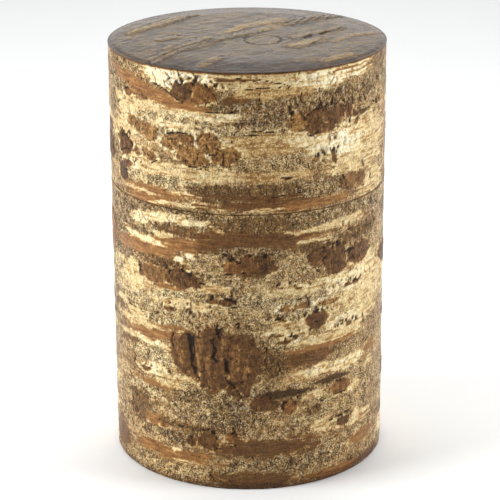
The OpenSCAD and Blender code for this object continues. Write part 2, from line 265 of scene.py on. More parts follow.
# Cracks as lines from one point to the next: (angle, height), ..., then the width
CRACKS = [
    ((-17, 110.5), (-11, 110.8), (-4.5, 110.8), 0.45), ((-5, 105.1), (2, 105.3), (10, 105.1), 0.4),
    ((-2, 104.4), (5, 104.1), 0.5), ((12.5, 92.2), (17, 92), 0.6), ((0, 86.9), (12, 86.8), (24, 87.4), 0.4),
    ((-4.5, 119.9), (5, 119.4), (12, 118.6), (17, 117.2), 0.4), ((-1, 117.0), (8, 117.3), (16, 117), 0.35),
    ((5.8, 116.4), (5.0, 114.8), (4.2, 113), 0.4), ((8, 114.6), (9.6, 113.4), 0.4),
    ((9, 121.6), (8.6, 120.2), 0.4), ((20, 121.8), (21, 120.8), (19.6, 120), 0.5),
    ((-35.5, 121.8), (-34, 120.6), (-31.6, 119), (-31, 117.2), 0.5), ((-29, 121.4), (-26.6, 119.2), 0.4),
    ((-22, 121.6), (-20.4, 119.4), (-21.2, 117.8), 0.9),
    ((-40, 116.8), (-36, 115.6), (-31, 114.2), (-26.4, 112.6), 0.8),
    ((-16, 118.6), (-14, 116.6), (-12.4, 114.6), 0.8),
    ((-64, 97.2), (-61.5, 99.6), (-58, 99.4), (-54.4, 97.2), 0.9),
    ((-64.4, 94.2), (-60, 95.6), (-56, 95.8), 0.8), ((-33.4, 103.2), (-30, 103.8), (-25.6, 103.6), 0.6),
    ((-19.6, 102.6), (-17.4, 104), (-15, 104.2), 0.6), ((-15, 99), (-13, 98.6), (-11.2, 99.8), 0.7),
    ((-13, 98.8), (-12.6, 97.2), 0.5), ((-24, 94.8), (-19, 94.5), 0.5), ((-42, 94), (-39, 95), 0.6),
    ((16.4, 112), (17.4, 109.6), (19, 110.4), 0.9), ((21.6, 116), (22, 113), (24.4, 110.6), 0.5),
    ((29, 116.2), (29.6, 112.6), (31.2, 109.8), 0.6), ((26, 110.2), (30, 110.6), (35, 111.2), 0.6),
    ((36.4, 113.2), (36.6, 111.2), 0.8), ((24.4, 103.8), (27, 103.4), (29, 104.2), 0.7),
    ((41, 111.2), (41.8, 110.2), 0.8), ((44.6, 110.2), (45.4, 107.6), (44.8, 104.8), 0.6),
    ((47.6, 112), (47.2, 110.4), 0.9), ((51.8, 111.6), (52.2, 109.6), 1.0),
    ((55.2, 111.4), (55.6, 109.8), 1.0), ((41.4, 90.2), (42, 87.8), (43.6, 86), 0.7),
    ((54.4, 92.4), (55.2, 90.6), 0.9), ((54.2, 85.6), (55.4, 85.4), 0.7), ((60, 88.4), (60.6, 86.4), 0.9),
    ((63, 76), (64.6, 73), (62.4, 70.2), 0.7), ((-51.6, 64), (-50.8, 61.2), 0.9),
    ((-43, 65.2), (-41, 64.6), 0.9), ((-36.6, 66), (-35, 64.8), 0.9),
    ((-33.8, 64.4), (-33.4, 62.2), (-34.2, 60.2), 0.6),
    ((-30, 66.2), (-28.6, 65), (-25, 63.6), (-21, 61.6), (-18, 61.4), 0.8),
    ((-9, 70.6), (-6.4, 70.2), (-5, 68.6), 0.7), ((-10.4, 64.6), (-4, 64.8), (1, 65.6), 0.5),
    ((31, 66.2), (34.4, 69.4), 0.6), ((35.8, 66.2), (36, 64.8), 0.5), ((28, 65.6), (30.4, 63.4), 0.7),
    ((43.6, 67.4), (46.4, 68), (48.4, 67.8), 1.0), ((47.6, 66.4), (48.8, 65), 0.7),
    ((45.6, 73.8), (46.4, 74), 0.8), ((36, 71), (39, 71.6), 0.8), ((42, 77), (42.6, 75.2), 0.5),
    ((-9, 57.6), (-5.2, 57.2), (-4.6, 55.4), (-8, 54.8), 0.6), ((-15.4, 54.8), (-13.4, 52.2), 0.5),
    ((24, 57.4), (25.4, 56), (26, 54.6), 0.8), ((18, 57), (22, 56.6), 0.6), ((28.2, 49.2), (30.2, 49), 1.2),
    ((29, 46.6), (30.4, 46.9), 0.6), ((5.8, 45.2), (6.2, 43.6), (7.4, 42.2), 0.6),
    ((-63, 49), (-57, 49.6), (-51, 49.2), (-46.8, 47.6), 0.5),
    ((-44, 48), (-41.6, 50.2), (-38.4, 51.2), (-35, 50.2), 0.6),
    ((-33.2, 44.6), (-32.2, 42), (-31.6, 40.4), 0.8),
    ((-24.6, 46.2), (-23.6, 43), (-24, 39.6), (-24.4, 37), (-22.6, 35.2), 2.0),
    ((-22.6, 46), (-21.8, 42.6), (-22.2, 39.4), 0.8),
    ((-14.8, 45), (-13.4, 42), (-14.8, 40.2), (-12.4, 38.8), 1.5), ((-12.2, 48.4), (-11.2, 46.2), 1.0),
    ((-9.4, 40), (-9, 37.4), (-7.6, 35.8), 1.6), ((-17.8, 38), (-18, 36.2), (-19.6, 35.2), 0.6),
    ((-21.6, 35), (-20.6, 33), 0.7), ((-10, 34.6), (-8.4, 32.4), (-5.6, 31), 1.2),
    ((-5.4, 31.2), (-3.6, 28.4), 0.6), ((6.4, 40), (7.4, 37.2), 0.8), ((12, 38.4), (13.4, 35.8), 0.7),
    ((-57.8, 21.4), (-57.4, 19), (-55, 17.2), 0.9), ((-55, 23.4), (-54.4, 21.8), 0.7),
    ((-69, 13.4), (-67, 13), 0.8), ((-59.6, 14), (-59, 12.4), 0.8),
    ((-33, 18.2), (-28, 17.6), (-24, 17.8), 0.6),
    ((-19.6, 17.4), (-16.6, 17.9), (-14.2, 16.9), (-13, 15.4), 0.6), ((-25.6, 13.2), (-24.6, 12.8), 0.8),
    ((-17.6, 13.4), (-15.4, 13.2), 0.6), ((-14, 12.2), (-10, 12.8), (-5.4, 13.8), 0.4),
    ((-5.6, 18.8), (-5.2, 16.2), 0.5), ((-16.4, 4), (-13.4, 1.2), 0.6), ((-8, 2.6), (-5.6, 1), 0.5),
    ((14.4, 25.2), (14.8, 23.2), 0.6), ((20, 28.6), (21, 27), 0.6),
    ((37, 29.4), (40, 29.8), (43, 29.2), 0.5), ((30.6, 25.4), (32, 24.6), 0.8),
    ((38, 25.8), (45, 25.4), 0.5), ((36, 17.8), (41, 18.4), (47, 19.4), 0.7), ((44.6, 14.6), (46, 13), 0.6),
    ((56.4, 47.4), (56.8, 44.6), 0.6), ((55, 39.2), (59, 38), (63, 39.4), 0.4),
]


def back_patches(rng):
    """Patches, knots and cracks of the same kinds for the sides and back, which the tables leave out."""
    patches, knots, cracks = [], [], []
    kinds = ["flecked", "olive", "gold", "pale", "rust", "grey", "cream", "brown", "tan", "cream"]
    for z in np.arange(2, CADDY_H - 2, 1.0):
        kind = rng.choice(kinds)
        a = rng.uniform(88, 272)
        patches.append((kind, a, z, rng.uniform(8, 24), rng.uniform(0.8, 4.2), rng.uniform(-5, 5)))
    for k in range(42):
        kind = rng.choice(["knot", "knot", "eye", "orange", "maroon"])
        a, z = rng.uniform(80, 280), rng.uniform(6, CADDY_H - 6)
        size = rng.uniform(6, 9) if k < 3 else rng.uniform(1.2, 5)
        long, tall = size * rng.uniform(0.9, 1.4), size * rng.uniform(0.45, 0.9)
        knots.append((kind, a, z, long, tall, rng.uniform(-12, 12)))
        for _ in range(3):
            foot_a, foot_z = a + rng.uniform(-1, 1) * size / DEG_MM, z + rng.uniform(-0.6, 0.6) * size
            rise = rng.uniform(1, 3)
            head = (foot_a + rng.uniform(-1, 1), foot_z + rise)
            cracks.append(((foot_a, foot_z), head, rng.uniform(0.5, 0.9)))
    return patches, knots, cracks


# ---- The rough bark's pattern ----

class Ground:
    """Points of the side, and the noises that bend and fray whatever is laid there."""

    def __init__(self, angle, height):
        self.height = height
        self.p = wall_points(angle, CADDY_R, height)
        self.level = self.p * np.array([1, 1, 4.5])
        self.upright = self.p * np.array([1, 1, 0.42])
        self.a = angle + 0.9 * fbm(self.p / 5, 11) / DEG_MM
        self.z = height + 0.55 * fbm(self.p / 5, 12)
        self.rag_level = 0.34 * fbm(self.level / 4.5, 13, 4, 0.7)
        self.rag_round = 0.26 * fbm(self.p / 1.7, 14, 3, 0.6)
        self.fray = 0.55 * fbm(self.p * np.array([0.10, 0.10, 1.3]), 10, 3, 0.7)
        self.broken = fbm(self.p / 1.8, 33, 2)
        self.spiky = smooth(-0.02, 0.16, fbm(self.upright / 0.85, 35, 2))
        self.wrapped = self.a % 360
        self.beside = smooth(64, 76, np.abs(self.a))

    def around(self, a0):
        """The points' angles, counted so that they run on past anything at angle a0."""
        return self.wrapped if a0 > FRONT_END else self.a


def patch_distance(ground, patch, fray):
    """Distance from a patch's middle, 1 at its outline. fray lengthens and shortens its ends by turns."""
    _, a0, z0, long, tall, tilt = (*patch, 0)[:6]
    across = (ground.around(a0) - a0) * DEG_MM
    up = ground.z - z0
    c, s = math.cos(math.radians(tilt)), math.sin(math.radians(tilt))
    u = (across * c + up * s) / long
    v = (up * c - across * s) / tall
    return np.sqrt(u * u + v * v) + fray * np.minimum(np.abs(u), 1)


def line_distance(x, y, points):
    """Distance in mm from each (x, y) to a line through points."""
    best = np.full(len(x), 99.0)
    for (x0, y0), (x1, y1) in zip(points[:-1], points[1:]):
        dx, dy = x1 - x0, y1 - y0
        t = np.clip(((x - x0) * dx + (y - y0) * dy) / (dx * dx + dy * dy), 0, 1)
        best = np.minimum(best, np.hypot(x - x0 - t * dx, y - y0 - t * dy))
    return best


def plain_bark(ground):
    """The fields where no patch lies."""
    p, level = ground.p, ground.level
    bands = fbm(level / 17, 15, 3)
    f = {name: np.zeros(len(p)) for name in ("rim", "raised", "inside", "eyed")}
    f["tone"] = 0.57 + 0.12 * bands
    f["rust"] = np.clip(0.22 + 0.35 * fbm(level / 13, 16, 2), 0, 1)
    f["fleck"] = 0.62 + 0.25 * fbm(p / 7, 17, 2)
    f["grain"] = 0.45 + 0.3 * fbm(p / 9, 18, 2)
    f["streak"] = 0.25 + 0.25 * fbm(level / 9, 19, 2)
    f["craze"] = 0.15 + 0.2 * fbm(p / 9, 20, 2)
    f["height"] = 0.04 * bands
    return f


def lay(f, ground, patch, fray, ragged, edge):
    """Lays one patch over the fields. Returns each point's distance from its middle, and its mask."""
    d = patch_distance(ground, patch, fray) + ragged
    mask = smooth(1 + edge, 1 - edge, d)
    if patch[1] > FRONT_END:
        mask = mask * ground.beside
    towards(f, zip(FIELDS, KINDS[patch[0]]), mask)
    return d, mask


def lay_knot(f, ground, knot):
    """Lays one knot: its scar, the dark crust that rises in spikes over it, and the pale lip round it."""
    kind, _, z0, long, tall = knot[:5]
    d, mask = lay(f, ground, knot, 0, ground.rag_round, 0.10)
    if kind == "rib":
        return
    outside = (d - 1) * min(long, tall)
    rise = (ground.z - z0) / tall
    above = smooth(-0.8, 0.7, rise)
    crust = 0.5 if kind == "eye" else 0.35 + 0.65 * above
    rim = np.maximum(f["rim"] * (1 - mask), smooth(0.45, 0.10, np.abs(outside + 0.1)) * crust)
    spikes = smooth(1.6, 0.4, np.abs(outside - 0.7)) * smooth(0.1, 0.7, rise)
    f["rim"] = np.maximum(rim, spikes * ground.spiky * crust)
    lip = smooth(0.34, 0.12, np.abs(outside - 0.5)) * smooth(-0.25, 0.25, ground.broken)
    lip = lip * (0.85 if kind in ("eye", "maroon") else 0.6 * (1 - above))
    towards(f, (("tone", 0.98), ("fleck", 0)), lip)
    f["rust"] *= 1 - 0.7 * lip
    f["raised"] += 0.05 * lip
    towards(f, (("inside", 1), ("eyed", float(kind == "eye"))), mask)


def crack_share(ground, cracks):
    """1 in the middle of a crack, and 0 away from them all."""
    wobble = 0.22 * fbm(ground.p / 1.1, 21, 2)
    share = np.zeros(len(ground.a))
    for line in cracks:
        points, width = line[:-1], line[-1]
        along = ground.around(points[0][0]) * DEG_MM
        d = line_distance(along, ground.z, [(a * DEG_MM, z) for a, z in points]) + wobble
        share = np.maximum(share, smooth(width * 0.52, width * 0.08, d))
    return share


def weather_and_painted_shade(f, ground):
    """Mottling and frayed slivers of under-bark, a dark brown band painted at the crown as the shade of the
    groove under the disc, and painted shade at the foot.
    """
    p, height = ground.p, ground.height
    f["tone"] += (0.08 - 0.05 * f["rust"]) * fbm(p / 2.4, 30, 3, 0.7)
    f["tone"] += 0.20 * f["inside"] * fbm(p / 1.3, 31, 3, 0.6)
    sliver = smooth(0.15, 0.42, fbm(p * np.array([0.16, 0.16, 1.7]), 36, 3, 0.65))
    sliver = sliver * smooth(0.2, 0.5, f["streak"])
    f["tone"] -= 0.26 * sliver * smooth(0.35, 0.7, f["tone"])
    f["rust"] = np.clip(f["rust"] + 0.45 * sliver, 0, 1)
    # a dark brown band painted just under the disc, standing for the shade in the groove there
    crown_groove_shade = smooth(CADDY_H - 1.6, CADDY_H - 1.2, height + 0.25 * fbm(p / 2.0, 32, 2))
    towards(f, (("tone", 0.24), ("rust", 0.75), ("fleck", 0.05), ("craze", 0.0), ("grain", 0.1)), crown_groove_shade)
    # painted contact shade: the bark darkens towards the foot, where it meets the floor
    f["tone"] -= 0.24 * smooth(2.8, 0.3, height)


def bark_fields(angle, height):
    """The rough bark's fields at points of the side, continuous across the seam."""
    ground = Ground(angle, height)
    p, level, upright = ground.p, ground.level, ground.upright
    more_patches, more_knots, more_cracks = back_patches(np.random.default_rng(5))
    f = plain_bark(ground)
    for patch in more_patches + LID_PATCHES + BODY_PATCHES:
        lay(f, ground, patch, ground.fray, ground.rag_level + 0.6 * ground.rag_round, 0.18)
    for knot in LID_KNOTS + BODY_KNOTS + more_knots:
        lay_knot(f, ground, knot)

    # the cracks that were placed, the net of finer ones, and the crusts over knots
    crack = crack_share(ground, CRACKS + more_cracks)
    first, second, number = cells(upright / 2.4 + 0.35 * fbm(p / 1.5, 22, 2)[:, None], 23)
    net = smooth(0.13, 0.02, second - first) * smooth(0.25, 0.75, f["craze"] + 0.25 * fbm(p / 3, 24, 2))
    crusts = 0.85 * f["rim"] * smooth(-0.35, 0.25, fbm(p / 1.3, 25, 2))
    f["dark"] = np.clip(np.maximum(crack, 0.4 * net) + crusts, 0, 1)
    weather_and_painted_shade(f, ground)

    # painted shade along the seam between lid and body, where the gap is in shade, and the upright joint at
    # the back, where the sheet laps over itself
    # painted shade: a dark line within a few tenths of a mm of the seam
    f["dark"] = np.maximum(f["dark"], 0.6 * smooth(0.30, 0.05, np.abs(height - SEAM_Z)))
    lap = (angle % 360 - 180) * DEG_MM + 0.7 * fbm(p / 5, 34, 3)
    joint = smooth(0.35, 0.10, np.abs(lap)) * smooth(-0.5, 0.2, ground.broken)
    f["dark"] = np.maximum(f["dark"], 0.6 * joint)

    # relief, always inwards from the nominal surface
    wrinkle = fbm(upright / 0.9, 26, 2) * f["grain"]
    fibre = fbm(level / 2.6, 27, 2) * f["streak"]
    pits = smooth(0.30, 0.75, fbm(p / 0.75, 28, 2)) * f["fleck"]
    relief = (
        BARK_LEVEL + 0.17 * fbm(p / 6, 29, 3) + 1.4 * f["height"] + f["raised"] + 0.07 * f["rim"]
        + 0.055 * wrinkle + 0.03 * fibre - 0.10 * pits + 0.05 * (number - 0.5) * f["craze"]
        - 0.26 * f["dark"] - 0.12 * net - 0.16 * smooth(-0.3, 0.3, lap) * smooth(9, 2, lap)
    )
    f["relief"] = np.clip(relief, BARK_DEEPEST, 0)
    return f


# ---- The polished disc's pattern ----

# Raised bands: x and y of one end and of the other, half width, height, tone (0 dark, 1 pale) and ochre
# (0 grey-brown, 1 yellow-brown)
TOP_BANDS = [
    (-33, 5, -26, 14, 1.5, 0.20, 0.62, 0.75), (-26, 14, -19.5, 23, 1.9, 0.22, 0.62, 0.55),
    (-19.5, 23, -14.5, 27, 0.7, 0.12, 0.40, 0.30), (-25, -26, -19, -15, 1.8, 0.18, 0.55, 0.75),
    (-19, -15, -11, -2, 1.6, 0.22, 0.52, 0.35), (-17, -14, -11, -8, 2.3, 0.16, 0.45, 0.25),
    (-24.5, -4, -20, -1, 1.6, 0.10, 0.45, 0.45), (-22.4, -15, -21, -12, 1.1, 0.10, 0.60, 0.90),
    (-9, -5, -2, 1.4, 1.4, 0.20, 0.42, 0.25), (-2, 1.4, 4, 8, 2.0, 0.20, 0.42, 0.25),
    (-5, 5, -1, 12, 1.5, 0.05, 0.68, 0.80), (-1, 12, 9.5, 20, 2.6, 0.06, 0.64, 0.65),
    (5, 9, 9, 15, 2.4, 0.04, 0.54, 0.65), (12, 16, 20, 22.6, 2.6, 0.12, 0.36, 0.45),
    (20, 22.6, 27, 26.4, 1.8, 0.12, 0.36, 0.45), (13.4, -1.4, 20, 4.6, 1.5, 0.22, 0.48, 0.35),
    (20, 4.6, 26.6, 9.2, 1.2, 0.18, 0.44, 0.45), (13.2, -11.4, 20.2, -4.4, 2.1, 0.22, 0.64, 0.55),
    (-12.6, -33.6, -8, -25.4, 1.7, 0.12, 0.60, 0.80), (20.6, -28, 28, -20.4, 1.4, 0.10, 0.60, 0.80),
    (24, -6, 30, 1, 1.6, 0.05, 0.50, 0.85), (32, 2, 37.6, 6, 1.6, 0.05, 0.50, 0.85),
]
# Grooves: their points, then half width, depth and darkness
TOP_GROOVES = [
    ((-33.2, 3.6), (-25.4, 12.4), (-17.4, 22), 0.45, 0.16, 0.6),
    ((-25.4, -27), (-18.6, -14.4), (-13, -7.6), (-9.8, -3), 0.50, 0.20, 0.8),
    ((-15, -12.4), (-12.4, -10), (-9.6, -8), (-9.4, -4.6), 0.40, 0.16, 0.7),
    ((-8, -5.8), (-1.6, 0), (4.6, 5.4), 0.40, 0.14, 0.6),
    ((14, -3.6), (20.6, 2.4), (27.6, 9.6), 0.45, 0.20, 0.8),
    ((12, -13.6), (17.6, -10.4), (21.6, -4), 0.45, 0.18, 0.8), ((21.4, -4.4), (20.4, -2), 0.40, 0.14, 0.6),
    ((11, 15.2), (14.6, 20.6), 0.40, 0.12, 0.6), ((14.4, 15), (17, 22.4), 0.40, 0.14, 0.7),
    ((17, 16.4), (20.6, 24.6), 0.40, 0.14, 0.7), ((20.4, 19.6), (22.6, 26), 0.40, 0.14, 0.7),
    ((23, 21), (25.4, 27.4), 0.40, 0.12, 0.7), ((26, 23.4), (28, 27), 0.35, 0.10, 0.5),
    ((-10.4, -7.2), (-9.8, -7), 0.70, 0.24, 1.0), ((-19.4, 0.8), (-19, 1), 0.50, 0.12, 1.0),
    ((-7.6, -24.2), (-6.6, -23), 0.50, 0.10, 0.8), ((33.4, 1), (33.8, 1.4), 0.60, 0.10, 0.9),
]
TOP_KNOT = (4.3, -4.6, 5.1, 5.7)            # middle, half width and half length


def lay_bands(f, x, y, ragged, broken):
    """The raised bands, each with a painted shade line along its foot."""
    for x0, y0, x1, y1, half, height, tone, ochre in TOP_BANDS:
        d = line_distance(x, y, [(x0, y0), (x1, y1)]) / half + 1.5 * ragged
        mask = smooth(1.4, 0.6, d) * (0.35 + 0.65 * broken)
        towards(f, (("tone", 0.95 * tone + 0.35 * ragged), ("ochre", ochre)), mask)
        # painted shade along the band's foot, in place of the shadow its relief would cast
        foot = smooth(1.2, 1.5, d) * smooth(2.1, 1.6, d) * smooth(0.0, 0.15, height)
        f["dark"] = np.maximum(f["dark"], 0.75 * foot * broken)
        room = 1 - smooth(0, 0.25, f["relief"] + 0.2)
        f["relief"] += 1.7 * height * smooth(1.4, 0.5, d) * room


def lay_grooves(f, x, y, ragged):
    """The grooves, dark along their bottoms."""
    for line in TOP_GROOVES:
        points, (half, depth, darkness) = line[:-3], line[-3:]
        mask = smooth(1.5, 0.3, line_distance(x, y, points) / half + ragged)
        f["relief"] -= 1.2 * depth * mask
        f["dark"] = np.maximum(f["dark"], darkness * mask)


def lay_top_knot(f, x, y, bend):
    """The round knot: a dark ring with fibres inside it."""
    knot_x, knot_y, wide, tall = TOP_KNOT
    d = np.hypot((x - knot_x) / wide, (y - knot_y) / tall) + 0.04 * bend
    ring = smooth(0.11, 0.03, np.abs(d - 1))
    inside = smooth(1.0, 0.9, d)
    fibres = fbm(np.stack([x * 0.9, y * 0.35, np.full(len(x), 8.0)], -1), 48, 3)
    f["relief"] = f["relief"] - 0.16 * ring + inside * 0.05 * fibres
    f["dark"] = np.maximum(f["dark"], 0.95 * ring)
    f["tone"] += inside * (0.10 + 0.14 * fibres)


def wear_and_front_shade_top(f, x, y, bend):
    """A front painted darker as shade, specks, a worn warm edge, and the slope down to it."""
    p = np.stack([x, y, np.zeros(len(x))], -1)
    radius = np.hypot(x, y)
    # painted shade: the front of the disc (-Y) is darkened and warmed towards its edge
    front = smooth(-20, -36, y + 3 * bend)
    specks = smooth(0.42, 0.70, fbm(p / 0.9, 49, 2))
    f["tone"] -= 0.12 * front
    f["ochre"] += 0.30 * front
    f["dark"] = np.maximum(f["dark"], np.maximum(0.45 * front, 0.45 * specks))
    edge = smooth(CADDY_R - 3.0, CADDY_R - 1.2, radius + 0.5 * bend)
    towards(f, (("tone", 0.12 + 0.2 * fbm(p / 4.2, 50, 2)), ("ochre", 0.75)), edge)
    slope = 0.36 * smooth(CADDY_R - 11, CADDY_R, radius)
    turn = 0.30 * np.clip((radius - CADDY_R + 2.6) / 1.9, 0, 1) ** 2.2
    f["relief"] = f["relief"] - 0.02 * specks - slope - turn


def top_fields(x, y):
    """The polished disc's tone, ochre, dark and relief in mm at (x, y)."""
    p = np.stack([x, y, np.zeros(len(x))], -1)
    along = p @ np.array([0.66, 0.75, 0])
    across = p @ np.array([0.75, -0.66, 0])
    grain = np.stack([along * 0.22, across, np.full(len(x), 3.0)], -1)
    bend = fbm(p / 3.2, 41, 3)
    ragged = 0.28 * fbm(p / 1.5, 42, 3, 0.6)
    broken = smooth(-0.35, 0.15, fbm(grain / 1.1, 51, 3, 0.65))
    f = {
        "tone": 0.24 + 0.17 * fbm(grain / 2.2, 43, 4, 0.65) + 0.17 * fbm(p / 5, 44, 3),
        "ochre": 0.25 + 0.30 * fbm(p / 7, 45, 2),
        "dark": np.zeros(len(x)),
        "relief": DISC_LEVEL + 0.030 * fbm(grain / 1.6, 46, 4, 0.6) + 0.05 * fbm(p / 4, 47, 3),
    }
    lay_bands(f, x + 0.7 * bend, y - 0.7 * bend, ragged, broken)
    lay_grooves(f, x + 0.35 * bend, y - 0.35 * bend, ragged)
    lay_top_knot(f, x, y, bend)
    wear_and_front_shade_top(f, x, y, bend)
    for name in ("tone", "ochre", "dark"):
        f[name] = np.clip(f[name], 0, 1)
    f["relief"] = np.clip(f["relief"], DISC_DEEPEST, 0)
    return f


# ---- Meshes ----

def mesh_object(name, verts_mm, faces, material):
    """A new object from points in millimetres and groups of faces of one size each."""
    mesh = bpy.data.meshes.new(name)
    mesh.vertices.add(len(verts_mm))
    mesh.vertices.foreach_set("co", (np.asarray(verts_mm) * MM).astype(np.float32).ravel())
    loops = np.concatenate([group.ravel() for group in faces])
    sizes = np.concatenate([np.full(len(group), group.shape[1]) for group in faces])
    mesh.loops.add(len(loops))
    mesh.loops.foreach_set("vertex_index", loops.astype(np.int32))
    mesh.polygons.add(len(sizes))
    starts = np.concatenate([[0], np.cumsum(sizes)[:-1]])
    mesh.polygons.foreach_set("loop_start", starts.astype(np.int32))
    mesh.update(calc_edges=True)
    mesh.validate()
    mesh.polygons.foreach_set("use_smooth", np.full(len(sizes), True))
    mesh.materials.append(material)
    obj = bpy.data.objects.new(name, mesh)
    bpy.context.scene.collection.objects.link(obj)
    return obj


def colour_attribute(obj, name, columns):
    """Stores three fields from 0 to 1 at the vertices, for the materials to read."""
    attribute = obj.data.attributes.new(name, "FLOAT_COLOR", "POINT")
    values = np.ones((len(obj.data.vertices), 4), np.float32)
    for k, column in enumerate(columns):
        values[:, k] = column
    attribute.data.foreach_set("color", values.ravel())


def ring_faces(rows, around):
    """Quads of a closed sheet made of rows rings, each of around points."""
    a = np.arange(rows * around).reshape(rows, around)
    b = np.roll(a, -1, 1)
    return np.stack([a, b, np.roll(b, -1, 0), np.roll(a, -1, 0)], -1).reshape(-1, 4)


def grid_faces(index):
    """Quads between the points of a grid, from a grid of their numbers."""
    return np.stack([index[:-1, :-1], index[:-1, 1:], index[1:, 1:], index[1:, :-1]], -1).reshape(-1, 4)


def corner(r, z, round_mm, start, steps=4):
    """Points round a corner whose outermost radius and height are r and z. The turn starts at start degrees,
    0 facing outwards and 90 facing up."""
    up = 1 if start >= 0 else -1
    points = []
    for k in range(steps + 1):
        turn = math.radians(start + 90 * k / steps)
        across, rise = math.cos(turn), math.sin(turn)
        points.append((r - round_mm * (1 - across), z - round_mm * (up - rise), across, rise))
    return points


def run(start, end, step, across, rise):
    """Points between start and end, each (radius, height), about step apart, without the two ends."""
    (r0, z0), (r1, z1) = start, end
    count = max(1, int(math.hypot(r1 - r0, z1 - z0) / step))
    return [(r0 + (r1 - r0) * k / count, z0 + (z1 - z0) * k / count, across, rise) for k in range(1, count)]


def wall_profile(r_in, r_out, z0, z1, foot, head, step):
    """A sheet's section, up the outside and down the inside, as (radius, height, share of the relief that
    goes outwards, share that goes up). foot and head are its outer edges' rounds."""
    foot_turn = [(r, z, across, 0) for r, z, across, _ in corner(r_out, z0, foot, -90)]
    head_turn = [(r, z, across, 0) for r, z, across, _ in corner(r_out, z1, head, 0)]
    side = run((r_out, z0 + foot), (r_out, z1 - head), step, 1, 0)
    inside = run((r_in, z1), (r_in, z0), (z1 - z0) / 12, 0, 0)
    return np.array([(r_in, z0, 0, 0)] + foot_turn + side + head_turn + [(r_in, z1, 0, 0)] + inside)


def turned_sheet(name, node, body, material, profile, around, fields):
    """A closed sheet turned from a profile, with the relief that fields gives, in place of a CAD node."""
    angle = np.tile(np.arange(around) * 360 / around - 180, len(profile))
    radius, height, across, rise = (np.repeat(profile[:, k], around) for k in range(4))
    f = fields(angle, radius, height)
    verts = wall_points(angle, radius + f["relief"] * across, height + f["relief"] * rise)
    obj = mesh_object(name, verts, [ring_faces(len(profile), around)], material)
    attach(obj, body)
    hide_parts(node)
    return obj, f


def disc_grid(radius, n):
    """An n by n grid bent into a disc: its points' x and y, its grid of numbers, and its border in order."""
    side = np.linspace(-1, 1, n)
    u, v = (grid.ravel() for grid in np.meshgrid(side, side))
    wide = np.abs(u) > np.abs(v)
    long = np.where(wide, u, v)
    safe = np.where(np.abs(long) < 1e-9, 1.0, long)
    turn = np.where(wide, math.pi / 4 * v / safe, math.pi / 2 - math.pi / 4 * u / safe)
    index = np.arange(n * n).reshape(n, n)
    border = np.concatenate([index[0, :-1], index[:-1, -1], index[-1, :0:-1], index[:0:-1, 0]])
    return radius * long * np.cos(turn), radius * long * np.sin(turn), index, border


# ---- Materials ----

# Colours in sRGB from 0 to 255, and where along the tone each one lies
# The palest grey is partly painted highlight, for the ivory patches on the crown.
GREYS = [
    (0.0, (26, 20, 13)), (0.15, (52, 38, 22)), (0.30, (84, 62, 34)), (0.44, (118, 91, 48)),
    (0.52, (144, 112, 62)), (0.60, (182, 145, 86)), (0.66, (212, 182, 120)), (0.78, (235, 212, 156)),
    (0.92, (248, 233, 188)), (1.0, (253, 246, 216)),
]
RUSTS = [
    (0.0, (30, 19, 11)), (0.18, (70, 42, 24)), (0.34, (108, 68, 36)), (0.50, (152, 104, 56)),
    (0.62, (186, 136, 78)), (0.70, (212, 168, 102)), (1.0, (246, 220, 160)),
]
DISC_BROWNS = [
    (0.0, (24, 17, 9)), (0.2, (80, 63, 37)), (0.4, (114, 95, 60)), (0.6, (142, 122, 83)),
    (1.0, (184, 162, 118)),
]
DISC_OCHRES = [
    (0.0, (28, 17, 8)), (0.2, (88, 59, 29)), (0.4, (124, 91, 48)), (0.6, (154, 124, 69)),
    (1.0, (204, 177, 112)),
]
SMOOTH_REDS = [(0.25, (44, 20, 13)), (0.45, (82, 38, 23)), (0.58, (116, 58, 33)), (0.75, (158, 92, 52))]


def srgb(r, g, b):
    """A linear colour from sRGB values of 0 to 255."""
    def linear(c):
        c = c / 255
        return c / 12.92 if c <= 0.04045 else ((c + 0.055) / 1.055) ** 2.4
    return linear(r), linear(g), linear(b), 1


class Value:
    """A node's output. Arithmetic on it adds math nodes."""

    def __init__(self, tree, socket):
        self.tree, self.socket = tree, socket

    def __add__(self, other):
        return self.tree.math("ADD", self, other)

    def __sub__(self, other):
        return self.tree.math("SUBTRACT", self, other)

    def __mul__(self, other):
        return self.tree.math("MULTIPLY", self, other)

    def __abs__(self):
        return self.tree.math("ABSOLUTE", self)

    def clamped(self):
        """Keeps the last sum or product between 0 and 1."""
        self.socket.node.use_clamp = True
        return self


